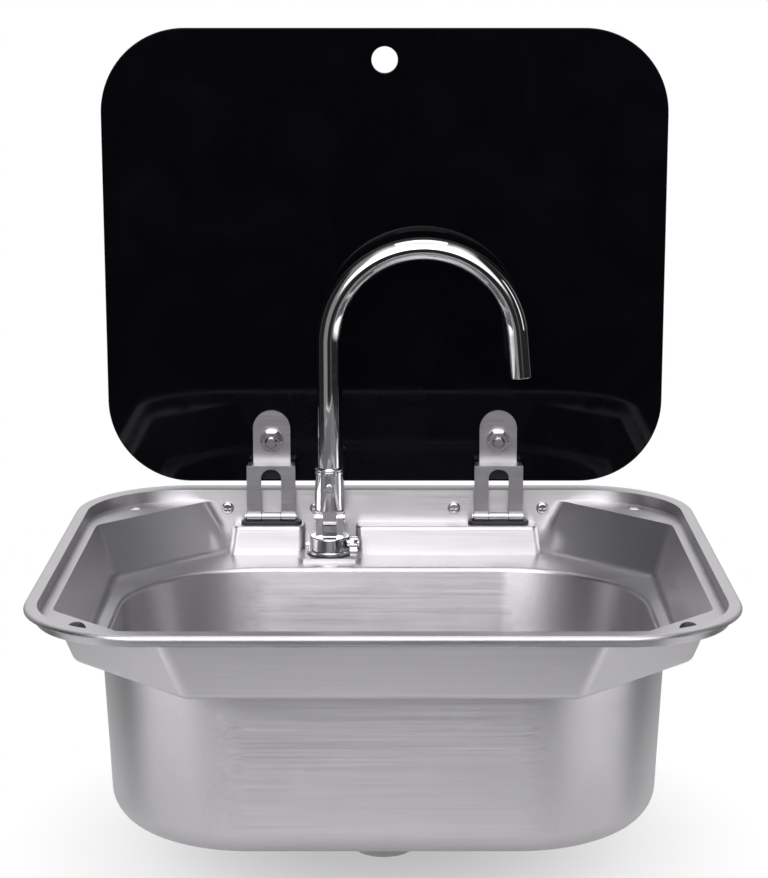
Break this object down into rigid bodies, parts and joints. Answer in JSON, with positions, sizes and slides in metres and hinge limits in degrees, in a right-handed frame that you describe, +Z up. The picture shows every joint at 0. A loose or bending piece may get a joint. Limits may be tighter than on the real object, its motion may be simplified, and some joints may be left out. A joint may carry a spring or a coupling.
{
  "type": "caravan sink with glass lid",
  "caption": "Drop-in stainless caravan sink with a black glass lid that hinges up behind and a swan-neck tap that folds down under it.",
  "frame": {"origin": "centre of the worktop cut-out, on the worktop's top face", "axes": "+X to the user's right, +Y towards the hinges at the back, +Z up"},
  "size_m": [0.42, 0.3751, 0.5133],
  "materials": {
    "brushed_stainless": "satin, finely brushed from side to side",
    "satin_steel": "satin",
    "plated_steel": "bright plated",
    "chrome": "polished",
    "black_glass": "gloss, opaque black",
    "black_rubber": "matt",
    "foam_strip": "matt foam",
    "nylon": "matt",
    "grey_plastic": "moulded, fine grain",
    "brass_fitting": "turned"
  },
  "bodies": {
    "root": {"basin": "brushed_stainless", "rim_seal": "foam_strip", "bumper_left": "black_rubber", "bumper_right": "black_rubber", "grommet_left": "black_rubber", "grommet_right": "black_rubber", "hinge_bracket_left": "plated_steel", "hinge_bracket_right": "plated_steel", "hinge_pin_left": "plated_steel", "hinge_pin_right": "plated_steel", "bracket_screws": "plated_steel", "bracket_nuts": "plated_steel", "tap_base": "brass_fitting", "tap_base_seal": "black_rubber", "tap_lock_washer": "plated_steel", "tap_locknut": "brass_fitting", "waste_dish": "brushed_stainless", "waste_gasket": "black_rubber", "waste_cup": "grey_plastic", "waste_screw": "plated_steel"},
    "lid": {"glass_lid": "black_glass", "hinge_arm_left": "satin_steel", "hinge_arm_right": "satin_steel", "glass_pad_left": "black_rubber", "glass_pad_right": "black_rubber", "bolt_bush_left": "nylon", "bolt_bush_right": "nylon", "lid_bolt_left": "plated_steel", "lid_bolt_right": "plated_steel", "lid_washer_left": "plated_steel", "lid_washer_right": "plated_steel", "lid_nut_left": "plated_steel", "lid_nut_right": "plated_steel"},
    "turret": {"tap_turret": "chrome", "tap_turret_ring": "black_rubber", "tap_fold_pin": "chrome"},
    "tap": {"tap_sleeve": "chrome", "tap_collar": "chrome", "tap_set_screw": "chrome", "tap_spout": "chrome", "spout_insert": "chrome"},
    "lever": {"valve_lever": "chrome", "lever_screw": "chrome"},
    "plug": {"plug_stopper": "black_rubber", "plug_knob": "chrome"}
  },
  "joints": [
    {"name": "lid_hinge", "type": "hinge", "parent": "root", "child": "lid", "pos_m": [0, 0.164, -0.0149], "axis": [1, 0, 0], "range_deg": [0, 90]},
    {"name": "turret_swivel", "type": "hinge", "parent": "root", "child": "turret", "pos_m": [-0.0384, 0.1475, -0.0338], "axis": [0, 0, 1], "range_deg": [-25, 8]},
    {"name": "tap_fold", "type": "hinge", "parent": "turret", "child": "tap", "pos_m": [-0.0384, 0.1475, -0.012], "axis": [1, 0, 0], "range_deg": [0, 90]},
    {"name": "lever_turn", "type": "hinge", "parent": "turret", "child": "lever", "pos_m": [-0.0239, 0.144, -0.0292], "axis": [-1, 0, 0], "range_deg": [0, 80]},
    {"name": "plug_lift", "type": "slide", "parent": "root", "child": "plug", "axis": [0, 0, 1], "range_m": [0, 0.03]}
  ],
  "couplings": [
    {"joint": "tap_fold", "follows": "lid_hinge", "ratio": 1}
  ]
}
